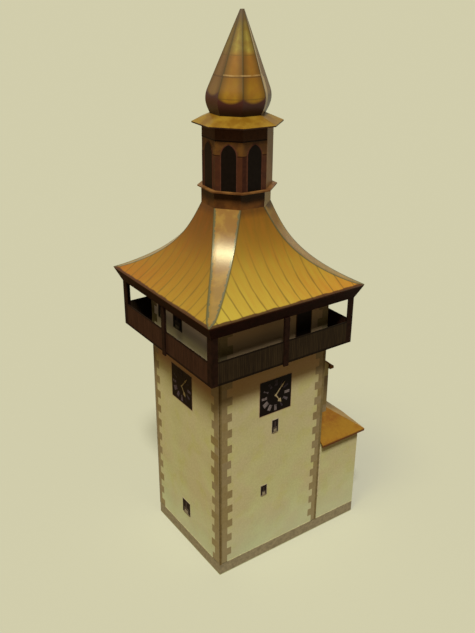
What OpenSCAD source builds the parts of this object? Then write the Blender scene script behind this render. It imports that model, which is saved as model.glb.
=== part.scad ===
// Watchtower: a folded card model of a square masonry tower. A timber gallery
// runs round its head under a flared, chamfered roof, and the roof carries an
// eight-sided lantern with an onion spire. A low annex and a narrow bay stand
// against the right wall.
// Millimetres. +Z is up, +X is right along the front wall and +Y runs to the
// back. The origin is at the middle of the tower's foot, on the underside of
// the card that it is glued down to.

/* [Card] */
// Thickness of the card that every piece is folded from
card = 0.5; // [0.4:0.05:0.6]

/* [Tower] */
// Width of the tower along X
tower_w = 56; // [46:1:68]
// Depth of the tower along Y
tower_d = 54; // [45:1:66]
// Height from the ground to the underside of the gallery
gallery_z = 104.1; // [96:0.1:126]

/* [Gallery] */
// How far the gallery and all above it sit to the left of the tower's middle
head_shift_x = -1.0; // [-1.5:0.1:1.5]
// How far they sit behind the tower's middle
head_shift_y = 0.7; // [-1.5:0.1:1.5]
// Reach of the gallery past the left and right walls
gallery_out_x = 7.7; // [6:0.1:10]
// Reach of the gallery past the front and back walls
gallery_out_y = 8.7; // [7:0.1:11]
// Height of the parapet, with its floor
parapet_h = 10.3; // [8:0.1:13]
// Clear height between the parapet and the ceiling
opening_h = 10.4; // [8:0.1:13]
// Width of each face of a corner post
corner_post_w = 3.0; // [2.5:0.1:5]
// Width of the post in the middle of each side
middle_post_w = 2.4; // [1.8:0.1:4]
// How far a middle post stands proud of the parapet
middle_post_proud = 0.6; // [0.4:0.1:1]
// How far a middle post's foot hangs below the gallery
middle_post_drop = 0.8; // [0:0.1:2]

/* [Main roof] */
// Reach of the eaves past the gallery
eave_out = 2.9; // [2:0.1:4]
// Height of the slanted cornice between the posts and the eaves
cornice_h = 6.3; // [5:0.1:8]
// Height of the roof from its eaves to the lantern
roof_h = 32.7; // [27:0.1:40]
// How sharply the roof flares at its foot
flare_power = 3.25; // [2.4:0.05:4]
// Share of the roof's run that is a straight slope
straight_share = 0.42; // [0.3:0.01:0.6]
// How quickly the chamfer on each hip opens out above the eaves
chamfer_power = 0.386; // [0.3:0.002:0.6]
// Width of the chamfer's blunt end at the eaves
chamfer_foot = 0.3; // [0.2:0.05:0.8]
// Turn of the lantern against the tower, from the making
lantern_turn = -5; // [-6:0.5:6]

/* [Lantern] */
// How far the lantern and spire sit to the right of the gallery's middle
lantern_shift_x = 0.4; // [-1:0.1:1]
// How far they sit behind the gallery's middle
lantern_shift_y = -0.3; // [-1:0.1:1]
// Corner radius of the eight-sided lantern
lantern_r = 14.2; // [11.5:0.1:17.5]
// Height of the collar between the roof and the lower cornice
collar_h = 6.6; // [5:0.1:8]
// Reach of the lower cornice past the lantern's corners
lower_cornice_out = 2.1; // [1.5:0.1:3]
// Height of the lantern walls above the lower cornice
lantern_h = 24.6; // [20:0.1:30]
// Reach of the upper cornice past the lantern's corners
upper_cornice_out = 4.0; // [3:0.1:5]
// Rise of the upper cornice from its edge to the spire
upper_cornice_h = 3.0; // [2:0.1:4]

/* [Spire] */
// Corner radius of the spire's foot
spire_foot_r = 11.0; // [9:0.1:12.5]
// Corner radius of the spire at its bulge
bulge_r = 12.9; // [12:0.1:15]
// Height from the spire's foot to its bulge
bulge_h = 5.9; // [4.5:0.1:7.5]
// Height over which the bulge rounds off into the cone
shoulder_h = 3.6; // [2.5:0.1:5]
// Height of the whole spire
spire_h = 37.3; // [30:0.1:45]
// Corner radius of the blunt tip, where the gores are drawn together
tip_r = 0.8; // [0.4:0.1:1.5]
// Lean of the tip to the right, from the making
spire_lean_x = 1.2; // [-2:0.1:2]
// Lean of the tip to the back
spire_lean_y = -0.6; // [-2:0.1:2]

/* [Annex] */
// Length of the annex out from the tower along X
annex_w = 23.9; // [20:0.1:29]
// Depth of the annex along Y
annex_d = 47.7; // [40:0.1:54]
// Height of the annex eaves
annex_eave_z = 49.7; // [40:0.1:54]
// Height of the edge folded down along the annex and bay eaves
eave_edge_h = 1.2; // [0.8:0.1:2]
// Slope of the annex's side roof in degrees
annex_pitch = 36; // [33:0.5:41]
// Reach of the annex and bay eaves past their walls
low_eave_out = 2.2; // [1.5:0.1:3]
// How far the annex's side eaves bow up between its corners
annex_bow_h = 1.4; // [0:0.1:2]
// Distance from each corner over which they rise
annex_bow_run = 16; // [10:1:18]

/* [Bay] */
// Width of the bay along Y
bay_w = 28; // [23:0.1:33]
// Depth of the bay out from the tower
bay_d = 11.5; // [9.5:0.1:13.5]
// Slope of the bay's lean-to roof in degrees
bay_pitch = 39.5; // [36:0.5:43]
// Height at which the bay roof meets the tower wall
bay_top_z = 94.0; // [85:0.1:96]
// Reach of the bay roof past the bay's front and back
bay_verge_out = 1.1; // [0.6:0.1:2]

/* [Hidden] */
$fn = 32;
sides = 8;
side_turn = 180 / sides;
roof_rows = 16;
bulb_rows = 5;
shoulder_rows = 4;

half_w = tower_w / 2;
half_d = tower_d / 2;
gallery_x = half_w + gallery_out_x;
gallery_y = half_d + gallery_out_y;
parapet_z = gallery_z + parapet_h;
ceiling_z = parapet_z + opening_h;
eave_x = gallery_x + eave_out;
eave_y = gallery_y + eave_out;
eave_z = ceiling_z + cornice_h;
roof_top_z = eave_z + roof_h;

// The roof's top edge and the collar on it are as wide as the lantern.
roof_top_apothem = lantern_r * cos(side_turn);
chamfer_top = roof_top_apothem * (2 - sqrt(2));
lower_cornice_r = lantern_r + lower_cornice_out;
upper_cornice_r = lantern_r + upper_cornice_out;
lower_cornice_z = roof_top_z + collar_h;
lantern_top_z = lower_cornice_z + card + lantern_h;
upper_cornice_z = lantern_top_z + card;
spire_z = upper_cornice_z + upper_cornice_h;

// The annex roof is half a pyramid with its point against the tower.
annex_drop = card / cos(annex_pitch);
annex_x = half_w + annex_w;
annex_back_y = annex_d - half_d;
annex_run = annex_w + low_eave_out;
annex_end_run = annex_d / 2 + low_eave_out;
annex_apex_y = annex_d / 2 - half_d;
annex_apex_z = annex_eave_z + annex_run * tan(annex_pitch);
annex_end_rise = (annex_apex_z - annex_eave_z) / annex_end_run;
annex_end_h = annex_eave_z + low_eave_out * annex_end_rise - annex_drop;
bay_x = half_w + bay_d;
bay_tip_x = bay_x + low_eave_out;
bay_drop = card / cos(bay_pitch);
bay_front_y = annex_apex_y - bay_w / 2;
bay_back_y = annex_apex_y + bay_w / 2;

stone = "wheat";
timber = "#4a3436";
tiles = "#b8862f";
metal_gold = "#b07a2c";
dark_brown = "#5a3b2a";

// ---- Shapes used more than once ----

// One side of a shell whose outer and inner skins are given as rows of rings,
// from the bottom ring to the top one. Side k runs from corner k to corner k+1.
module ring_side(outer, inner, k) {
    rows = len(outer);
    n = len(outer[0]);
    j = (k + 1) % n;
    points = [
        for (i = [0 : rows - 1])
            each [outer[i][k], outer[i][j], inner[i][j], inner[i][k]]
    ];
    last = 4 * (rows - 1);
    faces = [
        [0, 2, 3],
        [0, 1, 2],
        [last, last + 3, last + 2],
        [last, last + 2, last + 1],
        for (i = [0 : rows - 2], f = [
            [0, 4, 5], [0, 5, 1],
            [3, 2, 6], [3, 6, 7],
            [1, 5, 6], [1, 6, 2],
            [3, 7, 0], [7, 4, 0]
        ])
            [for (corner = f) corner + 4 * i]
    ];
    polyhedron(points = points, faces = faces, convexity = 4);
}

// A flat plate of card standing up along X, with its outer face on y = 0.
module upright_plate(from_x, to_x, from_z, to_z, thick = card) {
    translate([from_x, 0, from_z])
        cube([to_x - from_x, thick, to_z - from_z]);
}

// Puts a piece made for the front on the given side, at that side's distance.
module on_side(side) {
    turn = [0, 90, 180, 270][side];
    reach = [half_d, half_w, half_d, half_w][side];
    rotate([0, 0, turn])
        translate([0, -reach, 0])
            children();
}

// Carries a piece of the gallery or the main roof to the gallery's middle.
module on_head() {
    translate([head_shift_x, head_shift_y, 0])
        children();
}

// Carries a piece of the lantern or spire to the lantern's middle.
module on_lantern() {
    translate([head_shift_x + lantern_shift_x, head_shift_y + lantern_shift_y, 0])
        rotate([0, 0, lantern_turn])
            children();
}

module on_gallery_side(side) {
    turn = [0, 90, 180, 270][side];
    reach = [gallery_y, gallery_x, gallery_y, gallery_x][side];
    on_head()
        rotate([0, 0, turn])
            translate([0, -reach, 0])
                children();
}

// An eight-sided plate of card, its sides parallel to the lantern's.
module octagon_plate(r, from_z) {
    rotate([0, 0, side_turn])
        translate([0, 0, from_z])
            linear_extrude(card)
                circle(r = r, $fn = sides);
}

// An eight-sided tube of card, as wide as the lantern.
module octagon_tube(from_z, height) {
    rotate([0, 0, side_turn])
        translate([0, 0, from_z])
            linear_extrude(height)
                difference() {
                    circle(r = lantern_r, $fn = sides);
                    circle(r = lantern_r - card / cos(side_turn), $fn = sides);
                }
}

// ---- Tower ----

// The card under the walls, cut to the outline of the tower and its annex.
module base_card() {
    color("linen")
        linear_extrude(card)
            polygon([
                [-half_w, -half_d], [annex_x, -half_d],
                [annex_x, annex_back_y], [half_w, annex_back_y],
                [half_w, half_d], [-half_w, half_d]
            ]);
}

module front_wall() {
    color(stone)
        on_side(0)
            upright_plate(-half_w, half_w, card, ceiling_z);
}

module back_wall() {
    color(stone)
        on_side(2)
            upright_plate(-half_w, half_w, card, ceiling_z);
}

module left_wall() {
    color(stone)
        on_side(3)
            upright_plate(card - half_d, half_d - card, card, ceiling_z);
}

module right_wall() {
    color(stone)
        on_side(1)
            upright_plate(card - half_d, half_d - card, card, ceiling_z);
}

// ---- Gallery ----

module gallery_floor() {
    color(timber)
        difference() {
            on_head()
                translate([card - gallery_x, card - gallery_y, gallery_z])
                    cube([2 * (gallery_x - card), 2 * (gallery_y - card), card]);
            translate([-half_w, -half_d, gallery_z - card])
                cube([tower_w, tower_d, 3 * card]);
        }
}

// One parapet, between two corner posts.
module parapet(side) {
    half = [gallery_x, gallery_y, gallery_x, gallery_y][side] - corner_post_w;
    color(timber)
        on_gallery_side(side)
            upright_plate(-half, half, gallery_z, parapet_z);
}

module front_parapet() { parapet(0); }
module right_parapet() { parapet(1); }
module back_parapet() { parapet(2); }
module left_parapet() { parapet(3); }

// Four posts folded round the gallery's corners, from its floor to its ceiling.
module corner_posts() {
    color(timber)
        on_head()
            for (x = [-1, 1], y = [-1, 1])
                translate([x * gallery_x, y * gallery_y, gallery_z])
                    linear_extrude(ceiling_z - gallery_z)
                        polygon([
                            [0, 0],
                            [-x * corner_post_w, 0],
                            [-x * corner_post_w, -y * card],
                            [-x * card, -y * card],
                            [-x * card, -y * corner_post_w],
                            [0, -y * corner_post_w]
                        ]);
}

// Four posts lapped over the middle of each parapet.
module middle_posts() {
    foot_z = gallery_z - middle_post_drop;
    half = middle_post_w / 2;
    color(timber)
        for (side = [0 : 3])
            on_gallery_side(side)
                union() {
                    translate([0, -middle_post_proud, 0])
                        upright_plate(-half, half, foot_z, ceiling_z, middle_post_proud);
                    upright_plate(-half, half, parapet_z, ceiling_z);
                }
}

// ---- Cornice under the eaves ----

// The eaves end in the underside of the roof's first ring.
eave_slope = roof_slope(0);
cornice_top_x = eave_x - card * sin(eave_slope);
cornice_top_y = eave_y - card * sin(eave_slope);
cornice_top_z = eave_z - card * cos(eave_slope);
cornice_slant = atan2(cornice_top_z - ceiling_z, cornice_top_x - gallery_x);
cornice_wall = card / sin(cornice_slant);

function box_ring(x, y, z) = [[-x, -y, z], [x, -y, z], [x, y, z], [-x, y, z]];

module cornice(k) {
    outer = [
        box_ring(gallery_x, gallery_y, ceiling_z),
        box_ring(cornice_top_x, cornice_top_y, cornice_top_z)
    ];
    inner = [
        box_ring(gallery_x - cornice_wall, gallery_y - cornice_wall, ceiling_z),
        box_ring(cornice_top_x - cornice_wall, cornice_top_y - cornice_wall, cornice_top_z)
    ];
    color(timber)
        on_head()
            ring_side(outer, inner, k);
}

module front_cornice() { cornice(0); }
module right_cornice() { cornice(1); }
module back_cornice() { cornice(2); }
module left_cornice() { cornice(3); }

module gallery_ceiling() {
    x = gallery_x - cornice_wall;
    y = gallery_y - cornice_wall;
    color(timber)
        on_head()
            translate([-x, -y, ceiling_z])
                cube([2 * x, 2 * y, card]);
}

// ---- Main roof ----

// How far the roof still has to run in at height t, from 1 at the eaves to 0.
function run_left(t) =
    (1 - straight_share) * pow(1 - t, flare_power) + straight_share * (1 - t);

function run_rate(t) =
    (1 - straight_share) * flare_power * pow(1 - t, flare_power - 1) + straight_share;

// Slope of the roof at height t, in degrees from level.
function roof_slope(t) =
    atan2(roof_h, run_rate(t) * ((eave_x + eave_y) / 2 - roof_top_apothem));

function roof_x(t) = roof_top_apothem + (eave_x - roof_top_apothem) * run_left(t);
function roof_y(t) = roof_top_apothem + (eave_y - roof_top_apothem) * run_left(t);
function roof_chamfer(t) =
    chamfer_foot + (chamfer_top - chamfer_foot) * pow(t, chamfer_power);

// Eight corners of a chamfered rectangle, turned about the roof's middle.
function chamfered_ring(x, y, c, z, turn) = [
    for (p = [
        [c - x, -y], [x - c, -y],
        [x, c - y], [x, y - c],
        [x - c, y], [c - x, y],
        [-x, y - c], [-x, c - y]
    ])
        [p[0] * cos(turn) - p[1] * sin(turn), p[0] * sin(turn) + p[1] * cos(turn), z]
];

function roof_outer(t) =
    chamfered_ring(roof_x(t), roof_y(t), roof_chamfer(t), eave_z + roof_h * t, lantern_turn * t);

// The inner skin lies one card in, square to the slope.
function roof_inner(t) =
    let (
        inward = card * sin(roof_slope(t)),
        down = card * cos(roof_slope(t)),
        c = max(roof_chamfer(t) - inward * (2 - sqrt(2)), chamfer_foot / 2)
    )
    chamfered_ring(
        roof_x(t) - inward, roof_y(t) - inward, c,
        eave_z + roof_h * t - down, lantern_turn * t
    );

roof_outer_rows = [for (i = [0 : roof_rows]) roof_outer(i / roof_rows)];
roof_inner_rows = [for (i = [0 : roof_rows]) roof_inner(i / roof_rows)];

module roof_side(k) {
    color(tiles)
        on_head()
            ring_side(roof_outer_rows, roof_inner_rows, k);
}

module front_roof() { roof_side(0); }
module front_right_hip() { roof_side(1); }
module right_roof() { roof_side(2); }
module back_right_hip() { roof_side(3); }
module back_roof() { roof_side(4); }
module back_left_hip() { roof_side(5); }
module left_roof() { roof_side(6); }
module front_left_hip() { roof_side(7); }

// ---- Lantern ----

module lantern_collar() {
    color(dark_brown)
        on_head()
            rotate([0, 0, lantern_turn])
                octagon_tube(roof_top_z, collar_h);
}

module lower_cornice() {
    color("tan")
        on_lantern()
            octagon_plate(lower_cornice_r, lower_cornice_z);
}

module lantern_walls() {
    color("#b5702e")
        on_lantern()
            octagon_tube(lower_cornice_z + card, lantern_h);
}

module lantern_lid() {
    color(dark_brown)
        on_lantern()
            octagon_plate(upper_cornice_r, lantern_top_z);
}

module upper_cornice() {
    drop = card * norm([upper_cornice_r - spire_foot_r, upper_cornice_h])
        / (upper_cornice_r - spire_foot_r);
    inset = drop * (upper_cornice_r - spire_foot_r) / upper_cornice_h;
    color(metal_gold)
        on_lantern()
            rotate([0, 0, side_turn])
                translate([0, 0, upper_cornice_z])
                    rotate_extrude($fn = sides)
                        polygon([
                            [upper_cornice_r, 0],
                            [spire_foot_r, upper_cornice_h],
                            [spire_foot_r - card, upper_cornice_h],
                            [spire_foot_r - card, upper_cornice_h - drop],
                            [spire_foot_r, upper_cornice_h - drop],
                            [upper_cornice_r - inset, 0]
                        ]);
}

// ---- Spire ----

// The foot swells to the bulge, and the shoulder rounds into a straight cone.
cone_h = spire_h - bulge_h - shoulder_h;
cone_slope = (bulge_r - tip_r) / (cone_h + shoulder_h / 2);
shoulder_r = bulge_r - cone_slope * shoulder_h / 2;
// Each gore's inner skin lies one card in, square to its face.
gore_wall = card / cos(atan(cone_slope)) / cos(side_turn);

// Corner radius and height of each fold line, from the foot to the tip.
spire_profile = concat(
    [
        for (i = [0 : bulb_rows - 1])
            let (s = i / bulb_rows)
            [spire_foot_r + (bulge_r - spire_foot_r) * sin(90 * s), bulge_h * s]
    ],
    [
        for (i = [0 : shoulder_rows])
            let (s = i / shoulder_rows)
            [bulge_r + (shoulder_r - bulge_r) * s * s, bulge_h + shoulder_h * s]
    ],
    [[tip_r, spire_h]]
);

function spire_ring(r, z) = [
    for (i = [0 : sides - 1])
        let (a = 360 * i / sides + side_turn)
        [
            r * cos(a) + spire_lean_x * z / spire_h,
            r * sin(a) + spire_lean_y * z / spire_h,
            z
        ]
];

// A closed shell between an outer and an inner stack of rings, open at its foot.
module ring_shell(outer, inner) {
    n = len(outer[0]);
    rows = len(outer);
    points = [each for (ring = outer) ring, each for (ring = inner) ring];
    base = n * rows;
    top = n * (rows - 1);
    faces = [
        for (i = [0 : rows - 2], k = [0 : n - 1])
            let (a = n * i + k, b = n * i + (k + 1) % n)
            each [
                [a, a + n, b + n], [a, b + n, b],
                [base + a, base + b, base + b + n], [base + a, base + b + n, base + a + n]
            ],
        for (k = [0 : n - 1])
            let (b = (k + 1) % n)
            each [[k, b, base + b], [k, base + b, base + k]],
        [for (k = [n - 1 : -1 : 0]) top + k],
        [for (k = [0 : n - 1]) base + top + k]
    ];
    polyhedron(points = points, faces = faces, convexity = 6);
}

module spire() {
    last = len(spire_profile) - 1;
    inner_tip_r = tip_r / 3;
    inner_tip_z = spire_h - (gore_wall - tip_r + inner_tip_r) / cone_slope;
    outer = [for (p = spire_profile) spire_ring(p[0], p[1])];
    inner = [
        for (i = [0 : last])
            i < last
                ? spire_ring(spire_profile[i][0] - gore_wall, spire_profile[i][1])
                : spire_ring(inner_tip_r, inner_tip_z)
    ];
    color(metal_gold)
        on_lantern()
            translate([0, 0, spire_z])
                ring_shell(outer, inner);
}

// ---- Annex ----

module annex_front_wall() {
    color(stone)
        translate([0, -half_d, 0])
            upright_plate(half_w, annex_x, card, annex_end_h);
}

module annex_back_wall() {
    color(stone)
        translate([0, annex_back_y - card, 0])
            upright_plate(half_w, annex_x, card, annex_end_h);
}

// The annex's eaves, from the tower wall round its two corners and back.
annex_eave_front = -half_d - low_eave_out;
annex_eave_back = annex_back_y + low_eave_out;
annex_eave_side = annex_x + low_eave_out;
annex_bow_z = annex_eave_z + annex_bow_h;
annex_apex = [half_w, annex_apex_y, annex_apex_z];
annex_eaves = [
    [half_w, annex_eave_front, annex_eave_z],
    [annex_eave_side, annex_eave_front, annex_eave_z],
    [annex_eave_side, annex_eave_front + annex_bow_run, annex_bow_z],
    [annex_eave_side, annex_eave_back - annex_bow_run, annex_bow_z],
    [annex_eave_side, annex_eave_back, annex_eave_z],
    [half_w, annex_eave_back, annex_eave_z]
];

// Everything under the annex roof, to cut the walls below and above it.
module under_annex_roof() {
    last = len(annex_eaves) - 1;
    points = concat(
        annex_eaves,
        [for (p = annex_eaves) [p[0], p[1], 0]],
        [annex_apex]
    );
    n = last + 1;
    apex = 2 * n;
    faces = [
        for (i = [0 : last - 1])
            each [[i + 1, i, apex], [i, i + 1, i + 1 + n, i + n]],
        [0, apex, last, last + n, n],
        [for (i = [n : n + last]) i]
    ];
    polyhedron(points = points, faces = faces);
}

module annex_side_wall() {
    color(stone)
        intersection() {
            translate([annex_x - card, card - half_d, card])
                cube([card, annex_d - 2 * card, annex_apex_z]);
            translate([0, 0, -annex_drop])
                under_annex_roof();
        }
}

// A slope of card from a line of eaves points up to one point, cut upright
// along its two ends, with its edge folded down along the eaves.
// reach is the level distance from the eaves to the point.
module slope(eaves, point, reach) {
    last = len(eaves) - 1;
    inward = card / reach;
    points = [
        for (p = eaves)
            let (q = p + (point - p) * inward)
            each [
                p,
                [p[0], p[1], p[2] - eave_edge_h],
                [q[0], q[1], p[2] - eave_edge_h],
                [q[0], q[1], q[2] - annex_drop]
            ],
        point,
        point - [0, 0, annex_drop]
    ];
    top = 4 * (last + 1);
    under = top + 1;
    end = 4 * last;
    faces = [
        for (i = [0 : 4 : end - 4])
            each [
                [top, i + 4, i],
                [i, i + 4, i + 5], [i, i + 5, i + 1],
                [i + 1, i + 5, i + 6], [i + 1, i + 6, i + 2],
                [i + 2, i + 6, i + 7], [i + 2, i + 7, i + 3],
                [i + 3, i + 7, under]
            ],
        [top, 0, 3], [top, 3, under],
        [0, 1, 2], [0, 2, 3],
        [top, end + 3, end], [top, under, end + 3],
        [end, end + 2, end + 1], [end, end + 3, end + 2]
    ];
    polyhedron(points = points, faces = faces, convexity = 4);
}

module annex_slope(first, last, reach) {
    color(tiles)
        slope([for (i = [first : last]) annex_eaves[i]], annex_apex, reach);
}

module annex_front_roof() { annex_slope(0, 1, annex_end_run); }
module annex_side_roof() { annex_slope(1, 4, annex_run); }
module annex_back_roof() { annex_slope(4, 5, annex_end_run); }

// ---- Bay ----

function bay_roof_z(x) = bay_top_z - (x - half_w) * tan(bay_pitch);

// A side of the bay: upright, and sloped along the top to carry its lean-to.
module bay_end(y) {
    color(stone)
        difference() {
            translate([0, y, 0])
                rotate([90, 0, 0])
                    linear_extrude(card)
                        polygon([
                            [half_w, annex_eave_z],
                            [bay_x, annex_eave_z],
                            [bay_x, bay_roof_z(bay_x) - bay_drop],
                            [half_w, bay_roof_z(half_w) - bay_drop]
                        ]);
            under_annex_roof();
        }
}

module bay_front_wall() { bay_end(bay_front_y + card); }
module bay_back_wall() { bay_end(bay_back_y); }

module bay_side_wall() {
    top_z = bay_roof_z(bay_x) - bay_drop;
    color(stone)
        difference() {
            translate([bay_x - card, bay_front_y + card, annex_eave_z])
                cube([card, bay_w - 2 * card, top_z - annex_eave_z]);
            under_annex_roof();
        }
}

// A lean-to of card, with its eaves boxed in underneath.
module bay_roof() {
    soffit_z = bay_roof_z(bay_tip_x) - eave_edge_h;
    color(tiles)
        translate([0, bay_back_y + bay_verge_out, 0])
            rotate([90, 0, 0])
                linear_extrude(bay_w + 2 * bay_verge_out)
                    polygon([
                        [half_w, bay_roof_z(half_w)],
                        [half_w, bay_roof_z(half_w) - bay_drop],
                        [bay_x, bay_roof_z(bay_x) - bay_drop],
                        [bay_x, soffit_z],
                        [bay_tip_x, soffit_z],
                        [bay_tip_x, bay_roof_z(bay_tip_x)]
                    ]);
}

base_card();
front_wall();
left_wall();
right_wall();
back_wall();
gallery_floor();
front_parapet();
left_parapet();
right_parapet();
back_parapet();
corner_posts();
middle_posts();
gallery_ceiling();
front_cornice();
left_cornice();
right_cornice();
back_cornice();
front_roof();
left_roof();
right_roof();
back_roof();
front_left_hip();
front_right_hip();
back_left_hip();
back_right_hip();
lantern_collar();
lower_cornice();
lantern_walls();
lantern_lid();
upper_cornice();
spire();
annex_front_wall();
annex_side_wall();
annex_back_wall();
annex_front_roof();
annex_side_roof();
annex_back_roof();
bay_front_wall();
bay_side_wall();
bay_back_wall();
bay_roof();
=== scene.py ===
"""The printed finish of a folded card watchtower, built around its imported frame.

Lengths are millimetres until a mesh is made. Every surface is ink on thin card.
"""

import math

import bmesh
import bpy
from mathutils import Matrix, Vector


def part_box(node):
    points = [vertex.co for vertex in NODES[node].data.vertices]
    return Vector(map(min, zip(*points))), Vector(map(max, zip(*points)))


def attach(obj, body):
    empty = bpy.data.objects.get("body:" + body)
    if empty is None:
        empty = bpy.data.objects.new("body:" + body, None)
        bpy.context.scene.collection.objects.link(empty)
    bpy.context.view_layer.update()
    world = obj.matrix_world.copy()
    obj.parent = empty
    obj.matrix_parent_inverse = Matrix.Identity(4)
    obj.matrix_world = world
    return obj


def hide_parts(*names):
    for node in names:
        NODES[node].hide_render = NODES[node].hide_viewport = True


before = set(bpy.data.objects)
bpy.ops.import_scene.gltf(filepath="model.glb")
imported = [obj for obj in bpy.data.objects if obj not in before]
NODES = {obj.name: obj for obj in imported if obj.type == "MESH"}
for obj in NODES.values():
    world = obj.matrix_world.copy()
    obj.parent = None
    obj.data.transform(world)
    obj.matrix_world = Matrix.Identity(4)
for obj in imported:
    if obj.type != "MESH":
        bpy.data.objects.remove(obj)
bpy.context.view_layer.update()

MM = 0.001
INK = 0.05  # how far a printed shape stands off its card, only enough to be drawn
BODY = "root"


def low(node):
    """The lower corner of a node's box, in millimetres."""
    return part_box(node)[0] / MM


def high(node):
    """The upper corner of a node's box, in millimetres."""
    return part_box(node)[1] / MM


# ---- Sizes from the frame ----

CARD = high("base_card").z
TOWER_X = high("front_wall").x
TOWER_FRONT, TOWER_BACK = low("front_wall").y, high("back_wall").y
GALLERY_Z = low("gallery_floor").z
FLOOR_Z = high("gallery_floor").z
PARAPET_Z = high("front_parapet").z
CEILING_Z = low("gallery_ceiling").z
HEAD = (low("corner_posts") + high("corner_posts")) / 2  # the middle of the gallery and roof
ROOF_TOP_Z = high("front_roof").z
EAVE_X = high("right_roof").x - HEAD.x
EAVE_Y = high("back_roof").y - HEAD.y
LANTERN = (low("lantern_walls") + high("lantern_walls")) / 2
LANTERN_TOP_Z = low("lantern_lid").z
LEDGE_FOOT_Z, LEDGE_TOP_Z = low("lower_cornice").z, high("lower_cornice").z
GILT_FOOT_Z = low("upper_cornice").z
SPIRE_Z = low("spire").z
SPIRE_H = high("spire").z - SPIRE_Z
ANNEX_X = high("annex_side_wall").x
ANNEX_BACK = high("annex_back_wall").y
ANNEX_EAVE_Z = low("annex_side_roof").z
BAY_X = high("bay_side_wall").x
BAY_FRONT, BAY_BACK = low("bay_front_wall").y, high("bay_back_wall").y
BAY_TOP_Z = high("bay_side_wall").z

# ---- Sizes that the frame doesn't hold, as the card was cut ----

SIDES = 8
LANTERN_TURN = -5
LANTERN_R = 14.2
ROOF_RISE = 32.7
FLARE_POWER = 3.25
STRAIGHT_SHARE = 0.42
CHAMFER_POWER = 0.386
CHAMFER_FOOT = 0.3
EAVE_Z = ROOF_TOP_Z - ROOF_RISE
SPIRE_FOOT_R = 11.0
BULGE_R = 12.9
BULGE_H = 5.9
SHOULDER_H = 3.6
TIP_R = 0.8
FOLD_LOW, FOLD_HIGH = 14.7, 22.0  # the spire's two folds, above its foot
SPIRE_LEAN = Matrix.Rotation(math.radians(LANTERN_TURN), 3, "Z") @ Vector((1.2, -0.6, 0))

# ---- Sizes of the print ----

SEAM_PITCH = 5.6
BOARD_W = 0.9
BAND_TOP_Z = 5.9
QUOIN_RISE = 3.9
QUOIN_FOOT = 7.9
DIAL_W, DIAL_H = 16.7, 16.4
NUMERAL_R, NUMERAL_H = 4.8, 2.5
NUMERALS = ("XII", "I", "II", "III", "IV", "V", "VI", "VII", "VIII", "IX", "X", "XI")
ARCH_SPRING_Z = LANTERN_TOP_Z - 10.8
ARCH_RISE = 4.3


# ---- Nodes and colours ----


def linear(code):
    """An sRGB hex colour as linear RGBA."""
    channels = [int(code[i:i + 2], 16) / 255 for i in (1, 3, 5)]
    spread = [c / 12.92 if c <= 0.04045 else ((c + 0.055) / 1.055) ** 2.4 for c in channels]
    return (*spread, 1.0)


def add(tree, kind, inputs=(), **settings):
    """Adds a node with its settings. Among its inputs a node or a socket is linked, and a
    hex colour is made linear."""
    node = tree.nodes.new(kind)
    for name, value in settings.items():
        setattr(node, name, value)
    for name, value in dict(inputs).items():
        if isinstance(value, bpy.types.Node):
            value = value.outputs[0]
        if isinstance(value, bpy.types.NodeSocket):
            tree.links.new(value, node.inputs[name])
        else:
            is_colour = isinstance(value, str) and value.startswith("#")
            node.inputs[name].default_value = linear(value) if is_colour else value
    return node


def per_mm(size):
    """The scale of a texture on metre coordinates whose features are this many mm."""
    return 1 / (size * MM)


def start_print(name, roughness, gloss=0.25):
    """A material for ink on card, with its tree, its shader and the place on the object."""
    made = bpy.data.materials.new(name)
    made.use_nodes = True
    tree = made.node_tree
    tree.nodes.clear()
    shader = add(tree, "ShaderNodeBsdfPrincipled", {
        "Roughness": roughness, "Specular IOR Level": gloss,
    })
    add(tree, "ShaderNodeOutputMaterial", {"Surface": shader})
    return made, tree, shader, add(tree, "ShaderNodeTexCoord").outputs["Object"]


def finish_print(tree, shader, place, colour, depth=1.0):
    """Puts the ink on card: the slow warp of a glued sheet, and the fine tooth of its paper,
    which is drawn as coarse as 0.7 mm so that it shows."""
    tree.links.new(colour.outputs[0], shader.inputs["Base Color"])
    warp = add(tree, "ShaderNodeTexNoise", {
        "Vector": place, "Scale": per_mm(16), "Detail": 1.5,
    })
    tooth = add(tree, "ShaderNodeTexNoise", {
        "Vector": place, "Scale": per_mm(0.7), "Detail": 3.0, "Roughness": 0.6,
    })
    slow = add(tree, "ShaderNodeBump", {
        "Height": warp, "Strength": 0.55 * depth, "Distance": 0.9 * MM,
    })
    fine = add(tree, "ShaderNodeBump", {
        "Height": tooth, "Strength": 0.22 * depth, "Distance": 0.12 * MM, "Normal": slow,
    })
    tree.links.new(fine.outputs[0], shader.inputs["Normal"])


def mottle(tree, place, size, low_share=0.35, high_share=0.65, detail=3.0):
    """Soft patches of the given size, from 0 to 1."""
    noise = add(tree, "ShaderNodeTexNoise", {
        "Vector": place, "Scale": per_mm(size), "Detail": detail, "Roughness": 0.55,
    })
    return add(tree, "ShaderNodeMapRange", {
        "Value": noise, "From Min": low_share, "From Max": high_share,
    }, interpolation_type="SMOOTHSTEP")


def patch(tree, place, ground, ink, size, strength=1.0, *spread):
    """Another ink over the ground in soft patches. The spread is as in mottle."""
    share = add(tree, "ShaderNodeMath", {
        0: mottle(tree, place, size, *spread), 1: strength,
    }, operation="MULTIPLY")
    return add(tree, "ShaderNodeMixRGB", {"Fac": share, "Color1": ground, "Color2": ink})


def fade(tree, ground, ink, value, start, end, first=0.0, last=1.0, ease="LINEAR"):
    """Another ink over the ground, whose share goes from first to last while the value goes
    from start to end."""
    share = add(tree, "ShaderNodeMapRange", {
        "Value": value, "From Min": start, "From Max": end, "To Min": first, "To Max": last,
    }, interpolation_type=ease)
    return add(tree, "ShaderNodeMixRGB", {"Fac": share, "Color1": ground, "Color2": ink})


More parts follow.
